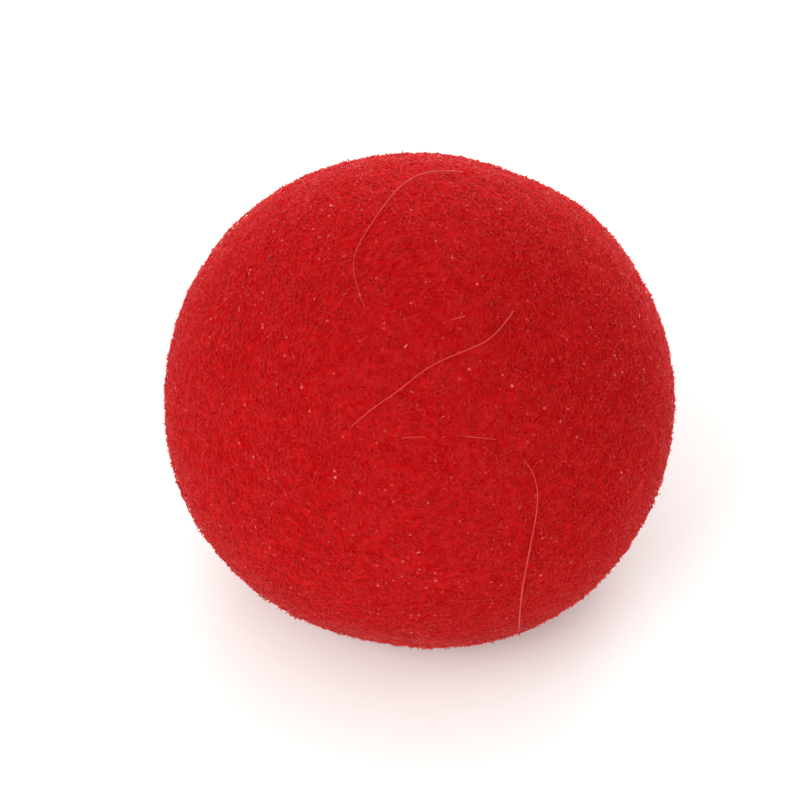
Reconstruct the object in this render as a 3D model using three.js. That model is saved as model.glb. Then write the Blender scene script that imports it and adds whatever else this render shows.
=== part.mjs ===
// A clown nose: one ball of soft red open-cell foam with a hollow at its back for the wearer's nose.
// Millimetres, +Z up. The nose lies on its back, so its front is the top, the hollow opens downwards,
// and the origin is on the plane that it lies on, under its middle.
import * as THREE from 'three';

// The ball, before its back is cut off
const BALL_WIDTH = 50.6;
const BALL_DEPTH = 49.8;
const BALL_HEIGHT = 48.4;

// The flat cut at the back, and the round of the edge around it
const BACK_FLAT_WIDTH = 30;
const BACK_EDGE_ROUND = 1.2;

// The hollow for the wearer's nose
const MOUTH_WIDTH = 21;
const MOUTH_LIP_ROUND = 1;
const HOLLOW_DEPTH = 25;
const HOLLOW_END_WIDTH = 17;

// The swells stop this high above the back, so that the flat and its edge stay true
const SWELL_START_HEIGHT = 5;

// Shallow swells and flats left by grinding the ball to shape. Azimuth goes from +X towards +Y and
// elevation up from the level of the ball's middle. Spread is the angle at which a swell has dropped to
// about a third. All three are in degrees. Rise is a share of the ball's radius, below zero for a flat.
const SWELLS = [
  { name: 'rear left shoulder', azimuth: 140, elevation: 30, spread: 26, rise: 0.017 },
  { name: 'front right cheek', azimuth: -47, elevation: -33, spread: 26, rise: 0.021 },
  { name: 'rear right shoulder', azimuth: 38, elevation: 30, spread: 14, rise: 0.010 },
  { name: 'left side', azimuth: -160, elevation: -16, spread: 18, rise: 0.007 },
  { name: 'front left flat', azimuth: -105, elevation: -40, spread: 16, rise: -0.018 },
  { name: 'rear flat', azimuth: 62, elevation: 38, spread: 11, rise: -0.012 },
];

const FOAM_RED = 0xc0181b;

// Facets around the ball, and along each stretch of its section
const TURNS = 64;
const DOME_STEPS = 7;
const WALL_STEPS = 6;
const LIP_STEPS = 3;
const EDGE_STEPS = 3;
const BALL_STEPS = 26;

const { degToRad, smoothstep } = THREE.MathUtils;

const BALL_RADIUS = BALL_WIDTH / 2;
const DEPTH_SHARE = BALL_DEPTH / BALL_WIDTH;
const HEIGHT_SHARE = BALL_HEIGHT / BALL_WIDTH;

// Height of a round ball's middle above its flat, and that of the real one, which is less high than wide
const ROUND_BALL_MIDDLE = Math.sqrt(BALL_RADIUS ** 2 - (BACK_FLAT_WIDTH / 2) ** 2);
const BALL_MIDDLE = ROUND_BALL_MIDDLE * HEIGHT_SHARE;

// Points of an arc between two angles in degrees, without its first point, which the stretch before it
// ends on.
function arc(centreX, centreY, radius, from, to, steps) {
  return Array.from({ length: steps }, (_, i) => {
    const angle = degToRad(from + ((to - from) * (i + 1)) / steps);
    return new THREE.Vector2(centreX + radius * Math.cos(angle), centreY + radius * Math.sin(angle));
  });
}

// Half of the hollow's section, from the middle of its domed end down its wall and round the mouth's lip.
function hollowSection() {
  const mouthRadius = MOUTH_WIDTH / 2;
  const endRadius = HOLLOW_END_WIDTH / 2;
  const wallTop = new THREE.Vector2(endRadius, HOLLOW_DEPTH - endRadius);
  const wallFoot = new THREE.Vector2(mouthRadius, MOUTH_LIP_ROUND);
  const wall = Array.from({ length: WALL_STEPS }, (_, i) =>
    wallTop.clone().lerp(wallFoot, (i + 1) / WALL_STEPS),
  );
  return [
    new THREE.Vector2(0, HOLLOW_DEPTH),
    ...arc(0, wallTop.y, endRadius, 90, 0, DOME_STEPS),
    ...wall,
    ...arc(mouthRadius + MOUTH_LIP_ROUND, MOUTH_LIP_ROUND, MOUTH_LIP_ROUND, 180, 270, LIP_STEPS),
  ];
}

// Half of the outside's section on a round ball: the edge of the flat back, then up to the front. The
// edge's round touches the flat and, from inside, the ball.
function outsideSection() {
  const roundMiddle = BACK_EDGE_ROUND - ROUND_BALL_MIDDLE;
  const flatEnd = Math.sqrt((BALL_RADIUS - BACK_EDGE_ROUND) ** 2 - roundMiddle ** 2);
  const ballStart = THREE.MathUtils.radToDeg(Math.atan2(roundMiddle, flatEnd));
  return [
    new THREE.Vector2(flatEnd, 0),
    ...arc(flatEnd, BACK_EDGE_ROUND, BACK_EDGE_ROUND, -90, ballStart, EDGE_STEPS),
    ...arc(0, ROUND_BALL_MIDDLE, BALL_RADIUS, ballStart, 90, BALL_STEPS),
  ];
}

// A direction from the ball's middle, from its azimuth and elevation in degrees.
function direction(azimuth, elevation) {
  const level = Math.cos(degToRad(elevation));
  return new THREE.Vector3(
    level * Math.cos(degToRad(azimuth)),
    level * Math.sin(degToRad(azimuth)),
    Math.sin(degToRad(elevation)),
  );
}

// How far the ball stands out in one direction, as a share of its radius.
function swellTowards(outwards) {
  return SWELLS.reduce((sum, { azimuth, elevation, spread, rise }) => {
    const away = outwards.angleTo(direction(azimuth, elevation)) / degToRad(spread);
    return sum + rise * Math.exp(-(away ** 2));
  }, 0);
}

// Moves a point from the round ball to the real one: its depth, its height and its swells.
function shapeOutside(point) {
  point.y *= DEPTH_SHARE;
  point.z *= HEIGHT_SHARE;
  const middle = new THREE.Vector3(0, 0, BALL_MIDDLE);
  const outwards = point.clone().sub(middle);
  const swell = swellTowards(outwards) * smoothstep(point.z, 0, SWELL_START_HEIGHT);
  return point.addScaledVector(outwards, swell);
}

function foamNose() {
  const hollow = hollowSection();
  const profile = [...hollow, ...outsideSection()];
  const geometry = new THREE.LatheGeometry(profile, TURNS);
  geometry.rotateX(Math.PI / 2);
  const position = geometry.attributes.position;
  const point = new THREE.Vector3();
  for (let i = 0; i < position.count; i += 1) {
    if (i % profile.length >= hollow.length) {
      shapeOutside(point.fromBufferAttribute(position, i));
      position.setXYZ(i, point.x, point.y, point.z);
    }
  }
  geometry.computeVertexNormals();
  const foam = new THREE.MeshStandardMaterial({ color: FOAM_RED, roughness: 0.95, metalness: 0 });
  const mesh = new THREE.Mesh(geometry, foam);
  mesh.name = 'foam_nose';
  return mesh;
}

const clownNose = new THREE.Group();
clownNose.add(foamNose());

export default clownNose;
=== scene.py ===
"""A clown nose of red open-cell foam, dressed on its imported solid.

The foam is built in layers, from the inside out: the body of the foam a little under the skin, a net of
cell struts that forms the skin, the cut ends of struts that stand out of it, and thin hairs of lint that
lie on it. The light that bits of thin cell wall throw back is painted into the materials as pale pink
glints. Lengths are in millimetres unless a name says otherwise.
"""

import logging
import math
from dataclasses import dataclass
from enum import Enum

import bpy
import numpy as np
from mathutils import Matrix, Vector, noise
from mathutils.bvhtree import BVHTree


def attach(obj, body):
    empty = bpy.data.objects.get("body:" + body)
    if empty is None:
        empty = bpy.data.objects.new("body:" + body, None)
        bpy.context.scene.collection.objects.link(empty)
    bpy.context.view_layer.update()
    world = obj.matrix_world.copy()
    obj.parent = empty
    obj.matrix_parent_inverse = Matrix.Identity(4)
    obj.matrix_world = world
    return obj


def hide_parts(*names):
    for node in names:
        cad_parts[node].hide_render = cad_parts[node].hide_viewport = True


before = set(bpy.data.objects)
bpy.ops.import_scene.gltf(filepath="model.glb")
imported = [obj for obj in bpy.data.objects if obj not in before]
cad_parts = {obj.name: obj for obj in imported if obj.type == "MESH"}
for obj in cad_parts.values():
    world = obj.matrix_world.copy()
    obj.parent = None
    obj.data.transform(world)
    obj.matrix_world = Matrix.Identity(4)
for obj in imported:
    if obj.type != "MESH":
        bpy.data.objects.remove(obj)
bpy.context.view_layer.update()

LOG = logging.getLogger("clown_nose")
NODE = "foam_nose"
BODY = "root"
MM = 0.001

# What the camera and the lights are turned to, and the angle, in degrees, that the camera looks down by.
BALL_MIDDLE = (0.0, 0.0, 19.5)
VIEW_ELEVATION = 48.0

# Colour of the painted glints: where the foam throws the light straight back, it is painted pale, and pink
# from the red all round it.
GLINT_PAINT_COLOUR = "ff8e88"

# How paler and deeper foam alternates, where its cells were torn in clumps: clump widths and their shares.
CLUMP_WIDTHS = (2.4, 0.9)
CLUMP_SHARES = (0.7, 1.2)

# How far a smoothing step moves a point towards the middle of its neighbours.
EASE = 0.5

# The one source of chance, seeded, so that each run builds the same nose.
CHANCE = np.random.default_rng(7)


def linear(colour: str) -> tuple[float, float, float, float]:
    """Turns an sRGB hex colour into linear red, green, blue and alpha.

    Args:
        colour: Six hex digits, such as "c0181b".

    Returns:
        The linear colour with an alpha of 1.
    """
    parts = [int(colour[i : i + 2], 16) / 255 for i in (0, 2, 4)]
    low = [p / 12.92 if p <= 0.04045 else ((p + 0.055) / 1.055) ** 2.4 for p in parts]
    return (*low, 1.0)


def add_node(
    tree: bpy.types.NodeTree, kind: str, inputs: dict | None = None, **settings: object
) -> bpy.types.Node:
    """Adds a node with its settings, and sets or links its inputs.

    Args:
        tree: The node tree that gets the node.
        kind: The node's type name.
        inputs: A value or an output socket for each input, by its name or place.
        **settings: The node's own properties.

    Returns:
        The new node.
    """
    node = tree.nodes.new(kind)
    for name, value in settings.items():
        setattr(node, name, value)
    for name, value in (inputs or {}).items():
        if isinstance(value, bpy.types.NodeSocket):
            tree.links.new(value, node.inputs[name])
        else:
            node.inputs[name].default_value = value
    return node


def select_only(piece: bpy.types.Object) -> None:
    """Deselects everything, then selects one piece and makes it active.

    Args:
        piece: The piece.
    """
    bpy.ops.object.select_all(action="DESELECT")
    piece.select_set(True)
    bpy.context.view_layer.objects.active = piece


def apply_modifier(piece: bpy.types.Object, kind: str, **settings: object) -> None:
    """Adds a modifier with its settings and applies it.

    Args:
        piece: The piece that is changed.
        kind: The modifier's type name.
        **settings: The modifier's own properties.
    """
    select_only(piece)
    modifier = piece.modifiers.new(kind.title(), kind)
    for name, value in settings.items():
        setattr(modifier, name, value)
    bpy.ops.object.modifier_apply(modifier=modifier.name)


def points_of(piece: bpy.types.Object) -> np.ndarray:
    """Gives a piece's points.

    Args:
        piece: The piece.

    Returns:
        Rows of x, y and z in metres.
    """
    flat = np.empty(len(piece.data.vertices) * 3)
    piece.data.vertices.foreach_get("co", flat)
    return flat.reshape(-1, 3)


def set_points(piece: bpy.types.Object, points: np.ndarray) -> None:
    """Puts a piece's points where the rows of x, y and z in metres say."""
    piece.data.vertices.foreach_set("co", points.ravel())
    piece.data.update()


def normals_of(piece: bpy.types.Object) -> np.ndarray:
    """Gives the normal at each of a piece's points.

    Args:
        piece: The piece.

    Returns:
        One row of three for each point.
    """
    flat = np.empty(len(piece.data.vertices) * 3, dtype=np.float32)
    piece.data.vertex_normals.foreach_get("vector", flat)
    return flat.reshape(-1, 3).astype(float)


def add_marks(piece: bpy.types.Object, **marks: np.ndarray) -> None:
    """Keeps numbers or directions with a piece's points, for its material to read.

    Args:
        piece: The piece.
        **marks: One number or one row of three for each point, by the attribute's name.
    """
    for name, values in marks.items():
        kind, slot = ("FLOAT_VECTOR", "vector") if values.ndim == 2 else ("FLOAT", "value")
        mark = piece.data.attributes.new(name, kind, "POINT")
        mark.data.foreach_set(slot, values.astype(np.float32).ravel())


def unit(rows: np.ndarray) -> np.ndarray:
    """Gives rows of three the length 1. The tiny number keeps a row of noughts from a division by 0."""
    return rows / np.maximum(np.linalg.norm(rows, axis=-1, keepdims=True), 1e-12)


def finish_piece(
    piece: bpy.types.Object, material: bpy.types.Material, smooth: bool = True
) -> None:
    """Dresses a piece and makes it ride with the nose.

    Args:
        piece: The finished piece.
        material: Its only material.
        smooth: Whether its faces are shaded as one smooth surface.
    """
    piece.data.materials.clear()
    piece.data.materials.append(material)
    select_only(piece)
    if smooth:
        bpy.ops.object.shade_smooth()
    else:
        bpy.ops.object.shade_flat()
    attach(piece, BODY)
    faces = len(piece.data.polygons)
    LOG.info("%s: %d points, %d faces", piece.name, len(piece.data.vertices), faces)


def copy_of(piece: bpy.types.Object, name: str) -> bpy.types.Object:
    """Copies a piece with its own mesh and none of its marks.

    Args:
        piece: The piece that is copied.
        name: The copy's name.

    Returns:
        The copy.
    """
    twin = bpy.data.objects.new(name, piece.data.copy())
    bpy.context.scene.collection.objects.link(twin)
    twin.data.materials.clear()
    return twin


def fine_solid(name: str, voxel: float, weld: float = 0.001, easings: int = 12) -> bpy.types.Object:
    """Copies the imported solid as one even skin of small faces.

    Args:
        name: The copy's name.
        voxel: Width of its faces.
        weld: How close the corners of its loose triangles lie that are made one.
        easings: How many smoothing steps take the voxels' stairs off it.

    Returns:
        The copy, with the solid's corners a little eased.
    """
    solid = copy_of(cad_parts[NODE], name)
    select_only(solid)
    bpy.ops.object.mode_set(mode="EDIT")
    bpy.ops.mesh.select_all(action="SELECT")
    bpy.ops.mesh.remove_doubles(threshold=weld * MM)
    bpy.ops.object.mode_set(mode="OBJECT")
    solid.data.remesh_voxel_size = voxel * MM
    bpy.ops.object.voxel_remesh()
    apply_modifier(solid, "SMOOTH", factor=EASE, iterations=easings)
    return solid


def mottle(tree: bpy.types.NodeTree, patch: float = 2.6) -> bpy.types.NodeSocket:
    """Adds the uneven take-up of dye that the body and the struts share.

    Args:
        tree: The material's nodes.
        patch: Width of a patch, about as the photograph shows them.

    Returns:
        The output that runs from about 0.3 in the deepest patches to 0.7 in the palest.
    """
    place = add_node(tree, "ShaderNodeTexCoord").outputs["Object"]
    inputs = {"Vector": place, "Scale": 1 / (patch * MM), "Detail": 3.0, "Roughness": 0.6}
    return add_node(tree, "ShaderNodeTexNoise", inputs).outputs["Fac"]


def painted_glints(
    tree: bpy.types.NodeTree,
    strength: float,
    spacing: float = 0.75,
    reach: float = 0.2,
    rarity: float = 4.0,
) -> bpy.types.NodeSocket:
    """Adds soft painted glints: the light that bits of thin cell wall left in the cells throw back,
    painted into the colour.

    Real bits are 0.1 to 0.2 mm across. The painted glints are drawn up to 0.4 mm across and fade to their
    edges, so that they show where a pixel is 0.1 mm wide.

    Args:
        tree: The material's nodes.
        strength: How strong the strongest painted glint is.
        spacing: How far apart the bits are, in all directions.
        reach: How far from its middle a painted glint has faded away.
        rarity: How few of the painted glints are strong ones, as a power of chance.

    Returns:
        The output that is 0 between the painted glints and up to the strength in their middles.
    """
    place = add_node(tree, "ShaderNodeTexCoord").outputs["Object"]
    bits = add_node(tree, "ShaderNodeTexVoronoi", {"Vector": place, "Scale": 1 / (spacing * MM)})
    inputs = {"Value": bits.outputs["Distance"], "From Max": reach / spacing, "To Min": 1.0, "To Max": 0.0}
    near = add_node(tree, "ShaderNodeMapRange", inputs, interpolation_type="SMOOTHSTEP")
    chance = add_node(tree, "ShaderNodeSeparateColor", {"Color": bits.outputs["Color"]}).outputs[0]
    power = add_node(tree, "ShaderNodeMath", {0: chance, 1: rarity}, operation="POWER").outputs[0]
    strong = add_node(tree, "ShaderNodeMath", {0: power, 1: strength}, operation="MULTIPLY").outputs[0]
    inputs = {0: near.outputs[0], 1: strong}
    return add_node(tree, "ShaderNodeMath", inputs, operation="MULTIPLY").outputs[0]


def blend(
    tree: bpy.types.NodeTree,
    share: bpy.types.NodeSocket,
    start: str | bpy.types.NodeSocket,
    end: str | bpy.types.NodeSocket,
) -> bpy.types.NodeSocket:
    """Adds a mix of two colours.

    Args:
        tree: The material's nodes.
        share: How much of the second colour there is.
        start: The first colour, as sRGB hex digits or an output.
        end: The second colour, as sRGB hex digits or an output.

    Returns:
        The mixed colour's output.
    """
    mix = add_node(tree, "ShaderNodeMix", data_type="RGBA")
    tree.links.new(share, mix.inputs[0])
    for place, colour in ((6, start), (7, end)):
        if isinstance(colour, str):
            mix.inputs[place].default_value = linear(colour)
        else:
            tree.links.new(colour, mix.inputs[place])
    return mix.outputs[2]


@dataclass(frozen=True)
class BodyFinish:
    """Flexible polyurethane foam, dyed red in the mass, seen in the depth of its cells.

    Light that goes into the cells is scattered and comes back deeper and redder, so the body is a dark,
    fully saturated red, with hardly any gloss of its own, and painted shade darkens it in the pits. The
    fuzz of torn cell walls gives it a weak sheen.

    Attributes:
        pit_colour: Its deepest red, taken in the pits as painted shade and elsewhere by the dye's chance
            patches and grain.
        wall_colour: Its colour where it is palest.
        grain: Width of the grain that the cells give it.
        painted_glints: How strong the strongest painted glint is, from 0 to 1.
        bloom_colour: Colour of the sheen.
        bloom: The sheen's weight.
        bloom_roughness: The sheen's roughness.
        seep: How much of the light goes in and comes out beside, from 0 to 1.
        seep_reach: How far its red, green and blue get in the foam.
        cell: Width of a cell.
        cell_depth: How deep the cells look.
        pit_shade_share: How much painted shade darkens the pits against the walls between them.
        grain_share: How strong the grain is.
        threshold: What is taken off the sum of height, mottle and grain.
        roughness: Its roughness, that of a surface all broken up by cells.
        specular: Its gloss, next to none, because the cells swallow it.
    """

    pit_colour: str = "aa0204"
    wall_colour: str = "b11719"
    grain: float = 0.60
    painted_glints: float = 0.75
    bloom_colour: str = "ffb4b6"
    bloom: float = 0.40
    bloom_roughness: float = 0.20
    seep: float = 0.5
    seep_reach: tuple[float, float, float] = (0.6, 0.06, 0.06)
    # Cells of such foam are 0.3 to 0.4 mm wide. They and the grain that they make are drawn about 0.6 mm
    # wide, so that they show where a pixel is 0.1 mm wide.
    cell: float = 0.55
    cell_depth: float = 0.10
    pit_shade_share: float = 0.3
    grain_share: float = 2.2
    threshold: float = 1.25
    roughness: float = 0.95
    specular: float = 0.05

    def material(self) -> bpy.types.Material:
        """Builds the material.

        Returns:
            The material, which reads the height that FoamBody marks.
        """
        made = bpy.data.materials.new("dyed_polyurethane_foam_body")
        made.use_nodes = True
        tree = made.node_tree
        shader = tree.nodes["Principled BSDF"]
        place = add_node(tree, "ShaderNodeTexCoord").outputs["Object"]
        height = add_node(tree, "ShaderNodeAttribute", attribute_name="height").outputs["Fac"]
        cells = add_node(tree, "ShaderNodeTexVoronoi", {"Vector": place, "Scale": 1 / (self.cell * MM)})
        inputs = {"Vector": place, "Scale": 1 / (self.grain * MM), "Detail": 2.0}
        grain = add_node(tree, "ShaderNodeTexNoise", inputs).outputs["Fac"]
        # Painted shade: the pits are darkened by their height mark; the mottle and the grain add the dye's
        # chance tone.
        inputs = {0: height, 1: self.pit_shade_share, 2: mottle(tree)}
        share = add_node(tree, "ShaderNodeMath", inputs, operation="MULTIPLY_ADD")
        inputs = {0: grain, 1: self.grain_share, 2: share.outputs[0]}
        share = add_node(tree, "ShaderNodeMath", inputs, operation="MULTIPLY_ADD")
        inputs = {0: share.outputs[0], 1: self.threshold}
        share = add_node(tree, "ShaderNodeMath", inputs, operation="SUBTRACT", use_clamp=True)
        colour = blend(tree, share.outputs[0], self.pit_colour, self.wall_colour)
        # Painted glints: the pale pink of light that bits of cell wall throw back, mixed into the colour.
        colour = blend(tree, painted_glints(tree, self.painted_glints), colour, GLINT_PAINT_COLOUR)
        tree.links.new(colour, shader.inputs["Base Color"])
        inputs = {"Height": cells.outputs["Distance"], "Distance": self.cell_depth * MM}
        relief = add_node(tree, "ShaderNodeBump", inputs)
        tree.links.new(relief.outputs["Normal"], shader.inputs["Normal"])
        shader.inputs["Roughness"].default_value = self.roughness
        shader.inputs["Specular IOR Level"].default_value = self.specular
        shader.inputs["Sheen Weight"].default_value = self.bloom
        shader.inputs["Sheen Roughness"].default_value = self.bloom_roughness
        shader.inputs["Sheen Tint"].default_value = linear(self.bloom_colour)
        shader.inputs["Subsurface Weight"].default_value = self.seep
        shader.inputs["Subsurface Radius"].default_value = self.seep_reach
        shader.inputs["Subsurface Scale"].default_value = MM
        return made


@dataclass(frozen=True)
class StrutFinish:
    """Cell struts of the same foam at its cut skin.

    They are fine matt threads that light gets through. Each has taken the dye a little differently, a few
    have a painted pale pink glint, and from the side they pile up into a pale pink bloom.

    Attributes:
        name: The material's name.
        deep_colour: Colour of the deepest threads.
        bright_colour: Colour of the brightest.
        bloom: The sheen's weight.
        painted_glints: How strong the strongest painted glint is, from 0 to 1.
        specular: Their gloss, weak, because a bright spot on so fine a thread hardly shows.
        bloom_colour: Colour of the sheen.
        seep: How much of the light goes in and comes out beside, from 0 to 1.
        seep_reach: How far its red, green and blue get in them.
        roughness: Their roughness.
        bloom_roughness: The sheen's roughness.
        skin_share: How far they are lit as the skin that they make up, from 0 to 1.
        patch_share: How much the patches of dye change their tone.
        threshold: What is taken off the sum of patch and tone.
    """

    name: str
    deep_colour: str
    bright_colour: str
    bloom: float = 1.0
    painted_glints: float = 0.15
    specular: float = 0.06
    bloom_colour: str = "ffc8c4"
    seep: float = 0.7
    seep_reach: tuple[float, float, float] = (0.5, 0.10, 0.09)
    roughness: float = 0.8
    bloom_roughness: float = 0.3
    skin_share: float = 0.6
    patch_share: float = 0.8
    threshold: float = 0.5

    def material(self) -> bpy.types.Material:
        """Builds the material.

        Returns:
            The material, which reads the tone, painted glint and skin that Shapes marks.
        """
        made = bpy.data.materials.new(self.name)
        made.use_nodes = True
        tree = made.node_tree
        shader = tree.nodes["Principled BSDF"]
        tone = add_node(tree, "ShaderNodeAttribute", attribute_name="tone").outputs["Fac"]
        glint_paint = add_node(tree, "ShaderNodeAttribute", attribute_name="glint_paint").outputs["Fac"]
        inputs = {0: mottle(tree), 1: self.patch_share, 2: tone}
        share = add_node(tree, "ShaderNodeMath", inputs, operation="MULTIPLY_ADD")
        inputs = {0: share.outputs[0], 1: self.threshold}
        share = add_node(tree, "ShaderNodeMath", inputs, operation="SUBTRACT", use_clamp=True)
        colour = blend(tree, share.outputs[0], self.deep_colour, self.bright_colour)
        # Painted glints, from the spot pattern and from the marks on the struts, mixed into the colour as
        # pale pink.
        inputs = {0: painted_glints(tree, self.painted_glints), 1: glint_paint}
        pale = add_node(tree, "ShaderNodeMath", inputs, operation="MAXIMUM")
        colour = blend(tree, pale.outputs[0], colour, GLINT_PAINT_COLOUR)
        tree.links.new(colour, shader.inputs["Base Color"])
        # The threads scatter light among each other, so they are lit more as the skin that they make
        # up is than as single threads would be.
        own = add_node(tree, "ShaderNodeNewGeometry").outputs["Normal"]
        skin = add_node(tree, "ShaderNodeAttribute", attribute_name="skin").outputs["Vector"]
        lit = add_node(tree, "ShaderNodeMix", data_type="VECTOR")
        lit.inputs[0].default_value = self.skin_share
        tree.links.new(own, lit.inputs[4])
        tree.links.new(skin, lit.inputs[5])
        facing = add_node(tree, "ShaderNodeVectorMath", {0: lit.outputs[1]}, operation="NORMALIZE")
        tree.links.new(facing.outputs[0], shader.inputs["Normal"])
        shader.inputs["Roughness"].default_value = self.roughness
        shader.inputs["Specular IOR Level"].default_value = self.specular
        shader.inputs["Sheen Weight"].default_value = self.bloom
        shader.inputs["Sheen Roughness"].default_value = self.bloom_roughness
        shader.inputs["Sheen Tint"].default_value = linear(self.bloom_colour)
        # A thread is thin enough to let the light behind it through, which is what lights up the rim.
        shader.inputs["Subsurface Weight"].default_value = self.seep
        shader.inputs["Subsurface Radius"].default_value = self.seep_reach
        shader.inputs["Subsurface Scale"].default_value = MM
        return made


@dataclass(frozen=True)
class LintFinish:
    """A stray textile fibre or a crumb of dust on the foam, dull and red.

    Attributes:
        name: The material's name.
        colour: Its one colour.
        faint_colour: Its other colour, that is nearer the foam's.
        patch: Width of the patches that they lie in.
        roughness: Its roughness.
        specular: Its gloss.
    """

    name: str
    colour: str
    faint_colour: str
    patch: float = 2.5
    roughness: float = 0.6
    specular: float = 0.2

    def material(self) -> bpy.types.Material:
        """Builds the material.

        Returns:
            The material, with its two colours in soft patches.
        """
        made = bpy.data.materials.new(self.name)
        made.use_nodes = True
        tree = made.node_tree
        shader = tree.nodes["Principled BSDF"]
        place = add_node(tree, "ShaderNodeTexCoord").outputs["Object"]
        inputs = {"Vector": place, "Scale": 1 / (self.patch * MM)}
        uneven = add_node(tree, "ShaderNodeTexNoise", inputs).outputs["Fac"]
        colour = blend(tree, uneven, self.colour, self.faint_colour)
        tree.links.new(colour, shader.inputs["Base Color"])
        shader.inputs["Roughness"].default_value = self.roughness
        shader.inputs["Specular IOR Level"].default_value = self.specular
        return made


class Quarter(Enum):
    """The quarters of the nose, by the signs of x and y, each with a net of struts of its own."""

    REAR_RIGHT = (1, 1)
    REAR_LEFT = (-1, 1)
    FRONT_LEFT = (-1, -1)
    FRONT_RIGHT = (1, -1)


@dataclass
class Shapes:
    """Many small closed shapes of one kind, with the same count of points and faces each.

    Attributes:
        points: One block of points for each shape, in metres.
        faces: The point numbers of one shape's triangles, counted in its block.
        flat: One shape's points on its square of the bake map, from 0 to 1.
        skin: The skin's normal at each shape.
        tone: How bright a red each shape is, around 0.5.
        glint_paint: How strongly each shape is painted with a pale pink glint, from 0 to 1.
    """

    points: np.ndarray
    faces: np.ndarray
    flat: np.ndarray
    skin: np.ndarray
    tone: np.ndarray
    glint_paint: np.ndarray

    def part(self, chosen: np.ndarray) -> "Shapes":
        """Picks some of the shapes.

        Args:
            chosen: A yes or no for each shape.

        Returns:
            The chosen shapes.
        """
        kept = (block[chosen] for block in (self.points, self.skin, self.tone, self.glint_paint))
        points, skin, tone, glint_paint = kept
        return Shapes(points, self.faces, self.flat, skin, tone, glint_paint)

    def piece(self, name: str) -> bpy.types.Object:
        """Makes one joined piece of all the shapes.

        Args:
            name: The piece's name.

        Returns:
            The piece, with its marks and its bake map.
        """
        count, corners = self.points.shape[:2]
        faces = (self.faces[None] + np.arange(count)[:, None, None] * corners).reshape(-1, 3)
        mesh = bpy.data.meshes.new(name)
        mesh.vertices.add(count * corners)
        mesh.vertices.foreach_set("co", self.points.ravel())
        mesh.loops.add(faces.size)
        mesh.loops.foreach_set("vertex_index", faces.ravel().astype(np.int32))
        mesh.polygons.add(len(faces))
        mesh.polygons.foreach_set("loop_start", np.arange(0, faces.size, 3, dtype=np.int32))
        mesh.update(calc_edges=True)
        piece = bpy.data.objects.new(name, mesh)
        bpy.context.scene.collection.objects.link(piece)
        marks = {"skin": self.skin, "tone": self.tone, "glint_paint": self.glint_paint}
        add_marks(piece, **{key: np.repeat(rows, corners, axis=0) for key, rows in marks.items()})
        # Each shape has a small square of its own on the bake map.
        side = math.ceil(math.sqrt(count))
        square = np.stack([np.arange(count) % side, np.arange(count) // side], axis=1)
        flat = (square[:, None] + self.flat[None]) / side
        fit = mesh.uv_layers.new(name="OFBake")
        fit.data.foreach_set("uv", flat.reshape(-1, 2)[faces.ravel()].astype(np.float32).ravel())
        return piece


def slivers(
    starts: np.ndarray,
    ends: np.ndarray,
    widths: tuple[np.ndarray, np.ndarray],
    beside: np.ndarray,
    turns: tuple[float, float] = (0.6, 1.0),
) -> tuple[np.ndarray, np.ndarray, np.ndarray]:
    """Makes slim threads of four faces, each with an edge at one end and a crossed one at the other.

    Args:
        starts: Where each thread starts, in metres.
        ends: Where it ends, in metres.
        widths: Its widths there, in metres.
        beside: A direction that isn't along it, such as the skin's normal.
        turns: The least and the most that it is turned about its length, in radians.

    Returns:
        The blocks of points, the faces of one thread, and its points on the bake map.
    """
    along = unit(ends - starts)
    side = unit(np.cross(along, beside))
    rise = np.cross(along, side)
    turn = CHANCE.uniform(*turns, len(starts))[:, None]
    first = (np.cos(turn) * side + np.sin(turn) * rise) * widths[0][:, None] / 2
    last = (np.cos(turn) * rise - np.sin(turn) * side) * widths[1][:, None] / 2
    points = np.stack([starts + first, starts - first, ends + last, ends - last], axis=1)
    faces = np.array([(0, 1, 2), (0, 3, 1), (0, 2, 3), (1, 3, 2)])
    flat = np.array([(0.1, 0.5), (0.9, 0.5), (0.5, 0.9), (0.5, 0.1)])
    return points, faces, flat


def clumps(points: np.ndarray) -> np.ndarray:
    """Gives how much paler the foam is at each point, where cells have torn in clumps.

    Args:
        points: Rows of x, y and z in metres.

    Returns:
        One number for each point, around 0.
    """
    wide, narrow = (
        np.array([noise.noise(Vector(p)) for p in points / (width * MM)]) for width in CLUMP_WIDTHS
    )
    return CLUMP_SHARES[0] * wide + CLUMP_SHARES[1] * narrow


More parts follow.
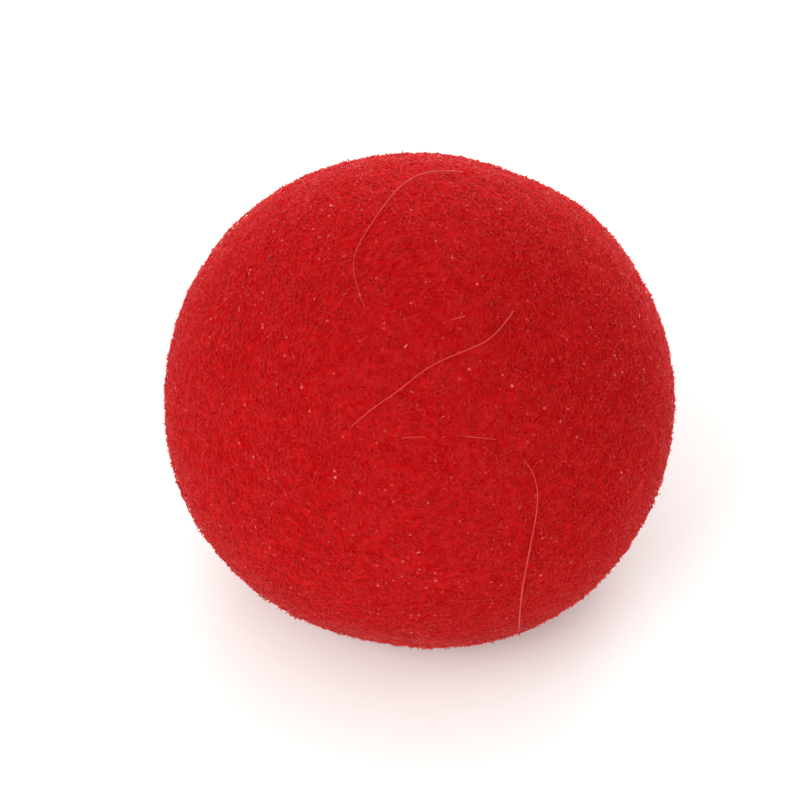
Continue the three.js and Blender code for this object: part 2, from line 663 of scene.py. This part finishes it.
@dataclass
class FoamBody:
    """The body of the foam, which shows between the struts of its skin.

    Attributes:
        voxel: Width of its faces.
        depth: How deep it lies under the solid's surface.
        pit_width: How far apart its pits are, each torn out of two or three cells.
        pit_depth: How deep they are.
        swell_width: Width of its low swells.
        swell: How high they are.
        wall: How high the walls between the pits would stand if they weren't cut off at 1.
        wall_slope: How steeply they fall into the pits.
    """

    voxel: float = 0.40
    depth: float = 0.35
    pit_width: float = 0.90
    pit_depth: float = 0.07
    swell_width: float = 3.5
    swell: float = 0.04
    wall: float = 1.15
    wall_slope: float = 1.6

    def heights(self, points: np.ndarray) -> np.ndarray:
        """Gives how high the torn cells stand at each point.

        Args:
            points: Rows of x, y and z in metres.

        Returns:
            One number for each point, 0 in the pits and 1 on the walls between them.
        """
        distances = [noise.voronoi(Vector(p))[0][:2] for p in points / (self.pit_width * MM)]
        near, next_near = np.array(distances).T
        return np.clip(self.wall - self.wall_slope * (next_near - near), 0, 1)

    def build(self, material: bpy.types.Material) -> None:
        """Models the body, pitted by the cells that it was cut through.

        Args:
            material: Its material.
        """
        body = fine_solid("foam_body", self.voxel)
        points, normals = points_of(body), normals_of(body)
        heights = self.heights(points)
        swells = np.array([noise.noise(Vector(p)) for p in points / (self.swell_width * MM)])
        out = (heights - 0.5) * self.pit_depth + swells * self.swell - self.depth
        points += normals * out[:, None] * MM
        points[:, 2] = np.maximum(points[:, 2], 0.0)
        set_points(body, points)
        add_marks(body, height=heights)
        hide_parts(NODE)
        finish_piece(body, material)


@dataclass
class FoamSkin:
    """The outermost cells of the foam, as a net of outlines on the solid's surface.

    Real cells are 0.3 to 0.4 mm wide. These come out about half a millimetre wide, so that they show
    where a pixel is 0.1 mm wide and the struts of a quarter stay under 200,000 triangles.

    Attributes:
        voxel: Width of the faces that the net starts from.
        cells: How many cells there are, about.
        unevenness: How uneven the surface is made, so that no two cells are alike.
        easings: How many smoothing steps round the cells off.
        relief: How far the net's corners stand in or out by chance.
        clump_relief: How far clumps of them do.
        inset: How deep the net lies under the solid's surface.
        corners: Its corners, as rows of x, y and z in metres.
        normals: The surface's normal at each corner.
        struts: The numbers of the two corners of each strut.
    """

    voxel: float = 0.26
    cells: int = 34000
    unevenness: float = 0.05
    easings: int = 2
    relief: float = 0.06
    clump_relief: float = 0.10
    inset: float = 0.18

    def __post_init__(self) -> None:
        """Lays out the net: its corners, their normals and its struts."""
        net = fine_solid("foam_skin", self.voxel)
        self.roughen(net, self.unevenness)
        net.data.calc_loop_triangles()
        ratio = 2 * self.cells / len(net.data.loop_triangles)
        apply_modifier(net, "DECIMATE", ratio=ratio)
        apply_modifier(net, "SMOOTH", factor=EASE, iterations=self.easings)
        apply_modifier(net, "NODES", node_group=self.cell_outlines())
        self.normals = normals_of(net)
        self.roughen(net, self.relief)
        self.corners = points_of(net)
        depth = self.clump_relief * clumps(self.corners) - self.inset
        self.corners += self.normals * depth[:, None] * MM
        ends = np.empty(len(net.data.edges) * 2, dtype=np.int32)
        net.data.edges.foreach_get("vertices", ends)
        self.struts = ends.reshape(-1, 2)
        bpy.data.objects.remove(net)

    def roughen(self, piece: bpy.types.Object, depth: float) -> None:
        """Moves each point of a piece in or out by chance, by about the given depth."""
        shift = CHANCE.normal(0, depth * MM, len(piece.data.vertices))
        set_points(piece, points_of(piece) + normals_of(piece) * shift[:, None])

    def cell_outlines(self) -> bpy.types.NodeTree:
        """Builds the node group that turns a skin of triangles into one of cell outlines.

        Returns:
            The node group.
        """
        group = bpy.data.node_groups.new("cell_outlines", "GeometryNodeTree")
        group.interface.new_socket("Geometry", in_out="INPUT", socket_type="NodeSocketGeometry")
        group.interface.new_socket("Geometry", in_out="OUTPUT", socket_type="NodeSocketGeometry")
        skin = add_node(group, "NodeGroupInput").outputs[0]
        dual = add_node(group, "GeometryNodeDualMesh", {"Mesh": skin}).outputs[0]
        add_node(group, "NodeGroupOutput", {0: dual})
        return group


@dataclass
class StrutNet:
    """The struts along the cells' outlines, and the cut ends of those that stood up through the skin.

    Real struts are about 0.05 mm thick. These are drawn up to 0.17 mm wide, so that they show where a
    pixel is 0.1 mm wide.

    Attributes:
        skin: The cells' outlines.
        width: A strut's width.
        width_spread: The least and the most that a width is of that.
        torn_share: How many of the struts were torn off, from 0 to 1.
        tone_spread: How much their reds differ.
        glint_paint_share: How many of them are painted with a pale pink glint, from 0 to 1.
        cut_end_share: At how many of the corners a cut end stands up, from 0 to 1.
        cut_end_reach: How short and how long cut ends are.
        cut_end_lean: How far they lean over, against how far they stand up.
        cut_end_tip: How wide their tips are, against their feet.
        cut_end_painted_light: How much brighter a red they are than the net, painted light where they
            stand up into it.
        cut_end_glint_paint: How strong the strongest painted glint on them is, from 0 to 1.
        glint_paint_rarity: How few of them have nearly as strong a painted glint, as a power of chance.
        floor_gap: How high over the floor the lowest of them starts.
    """

    skin: FoamSkin
    width: float = 0.14
    width_spread: tuple[float, float] = (0.6, 1.2)
    torn_share: float = 0.30
    tone_spread: float = 0.25
    glint_paint_share: float = 0.001
    cut_end_share: float = 0.35
    cut_end_reach: tuple[float, float] = (0.10, 0.30)
    cut_end_lean: float = 0.8
    cut_end_tip: float = 0.6
    cut_end_painted_light: float = 0.1
    cut_end_glint_paint: float = 0.10
    glint_paint_rarity: int = 8
    floor_gap: float = 0.4

    def tones(self, points: np.ndarray) -> tuple[np.ndarray, np.ndarray]:
        """Draws how bright a red each strut is, by clumps and by chance, and which ones get a painted pale
        pink glint.

        Args:
            points: The blocks of points of the struts, in metres.

        Returns:
            The tones and the painted glints.
        """
        count = len(points)
        tone = CHANCE.normal(0.5, self.tone_spread, count) + clumps(points.mean(axis=1))
        # A few struts, picked by chance, get a painted pale pink glint.
        glint_paint = np.where(CHANCE.random(count) < self.glint_paint_share, CHANCE.random(count) ** 2, 0)
        return tone, glint_paint

    def outlines(self) -> Shapes:
        """Makes the struts that lie in the skin.

        Returns:
            The struts, without those that were torn off.
        """
        struts = self.skin.struts[CHANCE.random(len(self.skin.struts)) > self.torn_share]
        ends = self.skin.corners[struts]
        ends[:, :, 2] = np.maximum(ends[:, :, 2], self.width * MM)
        normals = unit(self.skin.normals[struts].mean(axis=1))
        widths = self.width * MM * CHANCE.uniform(*self.width_spread, (2, len(ends)))
        points, faces, flat = slivers(ends[:, 0], ends[:, 1], (widths[0], widths[1]), normals)
        return Shapes(points, faces, flat, normals, *self.tones(points))

    def cut_ends(self) -> Shapes:
        """Makes the short struts that stand out of the skin.

        Returns:
            The cut ends, with none at the floor.
        """
        chosen = CHANCE.random(len(self.skin.corners)) < self.cut_end_share
        chosen &= self.skin.corners[:, 2] > self.floor_gap * MM
        starts, normals = self.skin.corners[chosen], self.skin.normals[chosen]
        aside = unit(CHANCE.normal(0, 1, starts.shape))
        reach = CHANCE.uniform(*self.cut_end_reach, len(starts)) * MM
        ends = starts + unit(normals + self.cut_end_lean * aside) * reach[:, None]
        ends[:, 2] = np.maximum(ends[:, 2], self.width * MM)
        feet = np.full(len(starts), self.width * MM)
        points, faces, flat = slivers(starts, ends, (feet, feet * self.cut_end_tip), aside)
        tone, glint_paint = self.tones(points)
        # Painted glints on the cut ends, strong on only a few of them.
        pale = CHANCE.random(len(starts)) ** self.glint_paint_rarity * self.cut_end_glint_paint
        # Their tone is raised as painted light, where they stand up out of the skin into the light.
        return Shapes(points, faces, flat, normals, tone + self.cut_end_painted_light, np.maximum(glint_paint, pale))

    def build(self, net: bpy.types.Material, ends: bpy.types.Material) -> None:
        """Makes joined pieces: one of struts for each quarter of the nose, and one of all cut ends.

        Args:
            net: The material of the struts in the skin.
            ends: That of the cut ends.
        """
        struts = self.outlines()
        across, along = struts.points.mean(axis=1)[:, :2].T
        for quarter in Quarter:
            right, rear = quarter.value
            inside = ((across >= 0) == (right > 0)) & ((along >= 0) == (rear > 0))
            piece = struts.part(inside).piece(f"strut_net_{quarter.name.lower()}")
            finish_piece(piece, net, smooth=False)
        finish_piece(self.cut_ends().piece("cut_strut_ends"), ends, smooth=False)


@dataclass(frozen=True)
class Hair:
    """One hair of lint.

    Attributes:
        name: Where it lies.
        route: Points along it, right of and above the ball's middle as the camera sees them.
        widths: How thick it is at its start and at its end.
    """

    name: str
    route: tuple[tuple[float, float], ...]
    widths: tuple[float, float]


@dataclass
class Lint:
    """Hairs of lint that lie on the foam, and two dark specks of dust.

    Attributes:
        lift: How high over the solid's surface a hair lies.
        wave: How much that changes along it.
        hairs: The hairs.
        specks: Where the specks are, right of and above the ball's middle as the camera sees them.
        speck_width: Their width.
        lumps_per_metre: How close together their lumps are.
        lumpiness: How much their lumps stand out, as a share of their width.
    """

    lift: float = 0.12
    wave: float = 0.08
    hairs: tuple[Hair, ...] = (
        Hair(
            "upper_left",
            ((4.3, 22.5), (1.8, 22.7), (0.0, 22.4), (-1.9, 21.2), (-3.1, 19.8), (-4.7, 17.5))
            + ((-6.2, 15.2), (-6.7, 13.3), (-6.3, 11.4), (-5.4, 9.1)),
            (0.13, 0.04),
        ),
        Hair(
            "middle",
            ((9.3, 8.8), (8.3, 7.4), (7.1, 6.0), (5.6, 5.3), (3.9, 4.6), (1.8, 3.8), (-0.2, 2.5))
            + ((-2.0, 0.9), (-3.8, -0.2), (-5.6, -1.6), (-6.7, -2.6)),
            (0.11, 0.07),
        ),
        Hair(
            "lower_right",
            ((10.3, -5.9), (11.1, -6.9), (11.6, -8.2), (11.7, -9.7), (11.5, -11.6), (11.1, -13.6))
            + ((10.6, -16.1), (10.1, -18.7), (9.9, -20.6), (9.8, -22.7)),
            (0.05, 0.14),
        ),
        Hair("left_of_middle", ((-1.8, -3.8), (-0.5, -3.6), (0.7, -3.7)), (0.07, 0.06)),
        Hair("right_of_middle", ((4.5, -3.6), (5.8, -3.7), (7.5, -3.9)), (0.07, 0.05)),
        Hair("above_middle", ((3.1, 7.9), (3.8, 8.1), (4.5, 8.3)), (0.06, 0.12)),
    )
    specks: tuple[tuple[float, float], ...] = ((-14.8, 14.2), (7.1, 9.5))
    speck_width: float = 0.30
    lumps_per_metre: int = 5000
    lumpiness: float = 0.5

    def __post_init__(self) -> None:
        """Takes the solid's surface, to lay things on."""
        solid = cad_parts[NODE].data
        faces = [face.vertices[:] for face in solid.polygons]
        self.surface = BVHTree.FromPolygons([point.co[:] for point in solid.vertices], faces)

    def landing(self, eye: Vector, right: float, up: float) -> tuple[Vector, Vector]:
        """Finds where a point seen by the camera lies on the foam.

        Args:
            eye: Where the camera is.
            right: How far right of the ball's middle the point is seen.
            up: How far above it.

        Returns:
            The place on the surface and its normal, in metres.
        """
        rise = math.radians(VIEW_ELEVATION)
        upwards = Vector((0, math.sin(rise), math.cos(rise)))
        seen = (Vector(BALL_MIDDLE) + Vector((right, 0, 0)) + upwards * up) * MM
        place, normal, _, _ = self.surface.ray_cast(eye, (seen - eye).normalized())
        return place, normal

    def build_hair(self, hair: Hair, eye: Vector, material: bpy.types.Material) -> None:
        """Lays one hair on the foam as a thin round thread with closed ends.

        Args:
            hair: The hair.
            eye: Where the camera is.
            material: Its material.
        """
        curve = bpy.data.curves.new(f"lint_hair_{hair.name}", "CURVE")
        curve.dimensions = "3D"
        # A point's own radius scales this one, which is that of a thread 1 mm wide.
        curve.bevel_depth = MM / 2
        curve.bevel_resolution = 1
        curve.use_fill_caps = True
        spline = curve.splines.new("NURBS")
        spline.points.add(len(hair.route) - 1)
        spline.order_u = 4 if len(hair.route) > 3 else 3
        spline.use_endpoint_u = True
        spline.resolution_u = 8
        widths = np.linspace(*hair.widths, len(hair.route))
        for point, (right, up), width in zip(spline.points, hair.route, widths):
            place, normal = self.landing(eye, right, up)
            lift = self.lift + self.wave * noise.noise(Vector((right, up, 0)))
            point.co = (*(place + normal * lift * MM), 1)
            point.radius = width
        laid = bpy.data.objects.new(curve.name, curve)
        bpy.context.scene.collection.objects.link(laid)
        select_only(laid)
        bpy.ops.object.convert(target="MESH")
        finish_piece(bpy.context.active_object, material)

    def build_specks(self, eye: Vector, material: bpy.types.Material) -> None:
        """Puts the two specks of dust between the struts.

        Args:
            eye: Where the camera is.
            material: Their material.
        """
        for number, (right, up) in enumerate(self.specks, start=1):
            place, normal = self.landing(eye, right, up)
            bpy.ops.object.select_all(action="DESELECT")
            bpy.ops.mesh.primitive_ico_sphere_add(subdivisions=2, radius=self.speck_width * MM / 2)
            speck = bpy.context.active_object
            speck.name = f"dust_speck_{number}"
            points = points_of(speck)
            lumps = [noise.noise(Vector(p) * self.lumps_per_metre) for p in points]
            points *= (np.array(lumps) * self.lumpiness + 1)[:, None]
            set_points(speck, points + np.array(place))
            finish_piece(speck, material)

    def build(self, eye: Vector) -> None:
        """Lays all the hairs and specks.

        Args:
            eye: Where the camera is.
        """
        fibre = LintFinish("pale_lint_fibre", "d84a42", "a82622").material()
        for hair in self.hairs:
            self.build_hair(hair, eye, fibre)
        self.build_specks(eye, LintFinish("dark_dust", "741a1e", "8c1c20").material())


@dataclass(frozen=True)
class Lamp:
    """A soft square light.

    Attributes:
        name: What it does.
        place: Where it hangs.
        width: Its width.
        power: Its power in watts.
    """

    name: str
    place: tuple[float, float, float]
    width: float
    power: float


@dataclass
class Studio:
    """The plain floor, the soft lights and the camera.

    Attributes:
        distance: How far the camera is from the ball's middle.
        lens: Its focal length.
        shift: How far its frame is shifted, in frame widths.
        clip_metres: The nearest and the farthest that it sees, in metres.
        floor_width: The floor's width.
        floor_colour: Its colour.
        floor_roughness: Its roughness.
        air: The strength of the pale glow from all round.
        lamps: The lights.
    """

    distance: float = 220.5
    lens: float = 100.0
    shift: tuple[float, float] = (-0.0244, 0.0)
    clip_metres: tuple[float, float] = (0.01, 20.0)
    floor_width: float = 4000.0
    floor_colour: str = "f4f4f2"
    floor_roughness: float = 0.9
    air: float = 1.0
    lamps: tuple[Lamp, ...] = (
        Lamp("key", (-330, -260, 330), 340, 1.5),
        Lamp("back", (60, 480, 110), 280, 2.4),
        Lamp("fill", (320, -300, 160), 360, 0.4),
    )

    def look_at(self, thing: bpy.types.Object) -> None:
        """Turns a light or the camera towards the nose."""
        away = thing.location - Vector(BALL_MIDDLE) * MM
        thing.rotation_euler = away.to_track_quat("Z", "Y").to_euler()

    def build_camera(self) -> bpy.types.Object:
        """Places the camera at the photograph's angle.

        Returns:
            The camera.
        """
        lens = bpy.data.cameras.new("camera")
        lens.lens = self.lens
        lens.shift_x, lens.shift_y = self.shift
        lens.clip_start, lens.clip_end = self.clip_metres
        camera = bpy.data.objects.new("camera", lens)
        bpy.context.scene.collection.objects.link(camera)
        rise = math.radians(VIEW_ELEVATION)
        back = Vector((0, -math.cos(rise), math.sin(rise)))
        camera.location = (Vector(BALL_MIDDLE) + back * self.distance) * MM
        self.look_at(camera)
        bpy.context.scene.camera = camera
        return camera

    def build_floor(self) -> None:
        """Lays the pale floor."""
        bpy.ops.object.select_all(action="DESELECT")
        bpy.ops.mesh.primitive_plane_add(size=self.floor_width * MM, location=(0, 0, 0))
        floor = bpy.context.active_object
        floor.name = "floor"
        paper = bpy.data.materials.new("matt_white_paper")
        paper.use_nodes = True
        shader = paper.node_tree.nodes["Principled BSDF"]
        shader.inputs["Base Color"].default_value = linear(self.floor_colour)
        shader.inputs["Roughness"].default_value = self.floor_roughness
        floor.data.materials.append(paper)

    def build_lights(self) -> None:
        """Hangs the soft lights and fills the air with a pale glow."""
        world = bpy.data.worlds.new("pale_room")
        world.use_nodes = True
        glow = world.node_tree.nodes["Background"]
        glow.inputs["Color"].default_value = (1, 1, 1, 1)
        glow.inputs["Strength"].default_value = self.air
        bpy.context.scene.world = world
        for lamp in self.lamps:
            source = bpy.data.lights.new(lamp.name, "AREA")
            source.size = lamp.width * MM
            source.energy = lamp.power
            light = bpy.data.objects.new(lamp.name, source)
            light.location = Vector(lamp.place) * MM
            bpy.context.scene.collection.objects.link(light)
            self.look_at(light)


def main() -> None:
    """Builds the nose and its studio."""
    logging.basicConfig(level=logging.INFO, format="%(name)s: %(message)s")
    bpy.context.scene.view_settings.view_transform = "Standard"
    studio = Studio()
    camera = studio.build_camera()
    FoamBody().build(BodyFinish().material())
    net = StrutFinish("dyed_polyurethane_foam_struts", "a90507", "b01517").material()
    # The cut ends have a brighter, pinker red than the net: painted light where they stand out of the
    # skin.
    ends = StrutFinish("dyed_polyurethane_foam_cut_ends", "a80c0e", "b61c1e").material()
    StrutNet(FoamSkin()).build(net, ends)
    Lint().build(camera.location)
    studio.build_floor()
    studio.build_lights()


if __name__ == "__main__":
    main()
